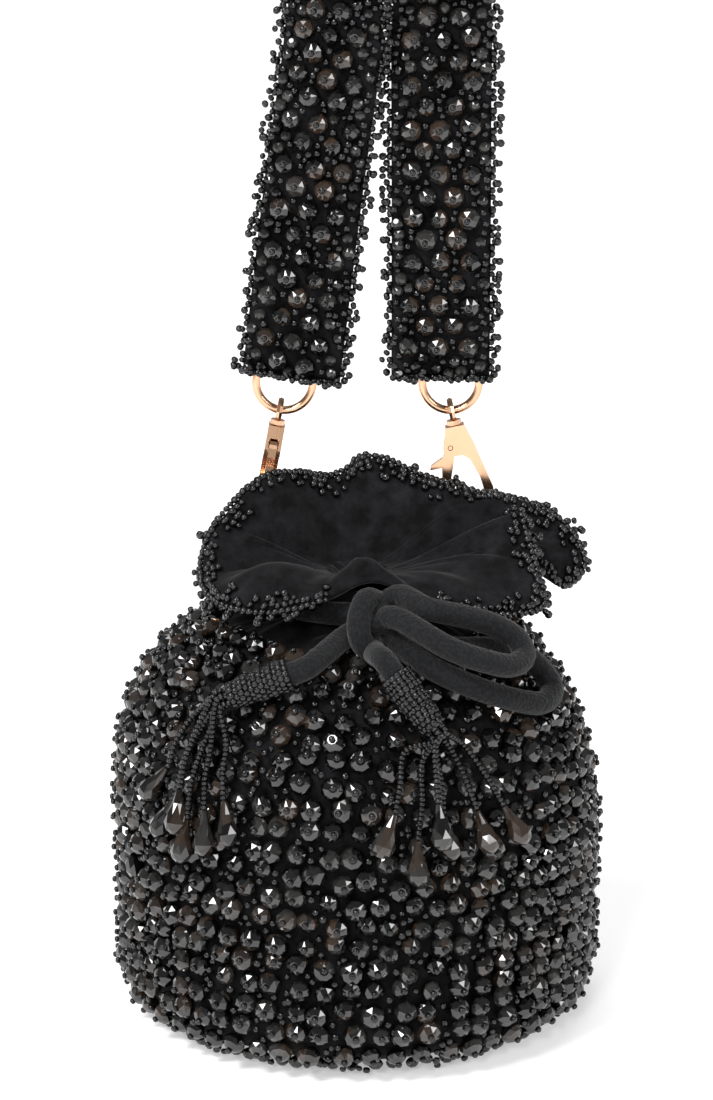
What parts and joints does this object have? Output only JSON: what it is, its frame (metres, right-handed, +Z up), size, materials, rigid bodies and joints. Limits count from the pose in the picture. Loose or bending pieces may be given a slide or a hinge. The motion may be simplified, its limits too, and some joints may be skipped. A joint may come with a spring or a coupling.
{
  "type": "beaded drawstring pouch bag",
  "caption": "Round drawstring pouch covered in faceted glass beads, with a gathered velvet collar, beaded tassels and a beaded strap on swivel snap hooks.",
  "frame": {"origin": "centre of the base panel's underside, on the floor", "axes": "+Z up along the pouch's axis, -Y towards the tied front, +X to the right as seen from the front"},
  "size_m": [0.15, 0.1597, 0.3804],
  "materials": {
    "velvet": "black pile velvet",
    "bead_glass": "opaque black and smoky faceted glass, polished",
    "cord": "charcoal soft knit",
    "board": "plain grey board",
    "gold": "polished rose gold plate"
  },
  "bodies": {
    "bag": {"base_panel": "velvet", "body_wall": "velvet", "collar": "velvet", "bag_tab_left": "velvet", "bag_tab_right": "velvet", "body_beadwork": "bead_glass", "collar_beads": "bead_glass", "tassel_cap_left": "bead_glass", "tassel_cap_right": "bead_glass", "strand_left_1": "bead_glass", "drop_left_1": "bead_glass", "strand_left_2": "bead_glass", "drop_left_2": "bead_glass", "strand_left_3": "bead_glass", "drop_left_3": "bead_glass", "strand_left_4": "bead_glass", "drop_left_4": "bead_glass", "strand_left_5": "bead_glass", "drop_left_5": "bead_glass", "strand_left_6": "bead_glass", "drop_left_6": "bead_glass", "strand_right_1": "bead_glass", "drop_right_1": "bead_glass", "strand_right_2": "bead_glass", "drop_right_2": "bead_glass", "strand_right_3": "bead_glass", "drop_right_3": "bead_glass", "strand_right_4": "bead_glass", "drop_right_4": "bead_glass", "strand_right_5": "bead_glass", "drop_right_5": "bead_glass", "strand_right_6": "bead_glass", "drop_right_6": "bead_glass", "neck_cord": "cord", "knot": "cord", "bow_loop_inner": "cord", "bow_loop_outer": "cord", "tail_left": "cord", "tail_right": "cord", "base_board": "board", "d_ring_right": "gold"},
    "handle_links": {"d_ring_left": "gold", "swivel_eye_left": "gold", "swivel_eye_right": "gold", "strap_ring_left": "gold", "strap_ring_right": "gold"},
    "strap": {"strap_band": "velvet", "strap_beadwork": "bead_glass", "strap_tab_left": "velvet", "strap_tab_right": "velvet"},
    "clip_left": {"hook_left": "gold", "gate_pin_left": "gold"},
    "trigger_left": {"gate_left": "gold"},
    "clip_right": {"hook_right": "gold", "gate_pin_right": "gold"},
    "trigger_right": {"gate_right": "gold"}
  },
  "joints": [
    {"name": "handle_swing", "type": "hinge", "parent": "bag", "child": "handle_links", "pos_m": [0, 0.024, 0.1435], "axis": [1, 0, 0], "range_deg": [-45, 3]},
    {"name": "strap_swing", "type": "hinge", "parent": "handle_links", "child": "strap", "pos_m": [0, 0.024, 0.1997], "axis": [1, 0, 0], "range_deg": [-70, 8]},
    {"name": "left_swivel", "type": "hinge", "parent": "handle_links", "child": "clip_left", "pos_m": [-0.02884, 0.024, 0.1545], "axis": [0.1808, 0, 0.9835], "range_deg": [-20, 20]},
    {"name": "right_swivel", "type": "hinge", "parent": "handle_links", "child": "clip_right", "pos_m": [0.03508, 0.024, 0.1545], "axis": [-0.2036, 0, 0.9791], "range_deg": [-20, 6]},
    {"name": "left_trigger", "type": "hinge", "parent": "clip_left", "child": "trigger_left", "pos_m": [-0.02574, 0.0214, 0.17142], "axis": [0.9835, 0, -0.1808], "range_deg": [0, 24], "stiffness_Nm_per_rad": 0.02, "springref_deg": -14.9},
    {"name": "right_trigger", "type": "hinge", "parent": "clip_right", "child": "trigger_right", "pos_m": [0.02904, 0.024, 0.17081], "axis": [0, -1, 0], "range_deg": [0, 24], "stiffness_Nm_per_rad": 0.02, "springref_deg": -14.9}
  ]
}
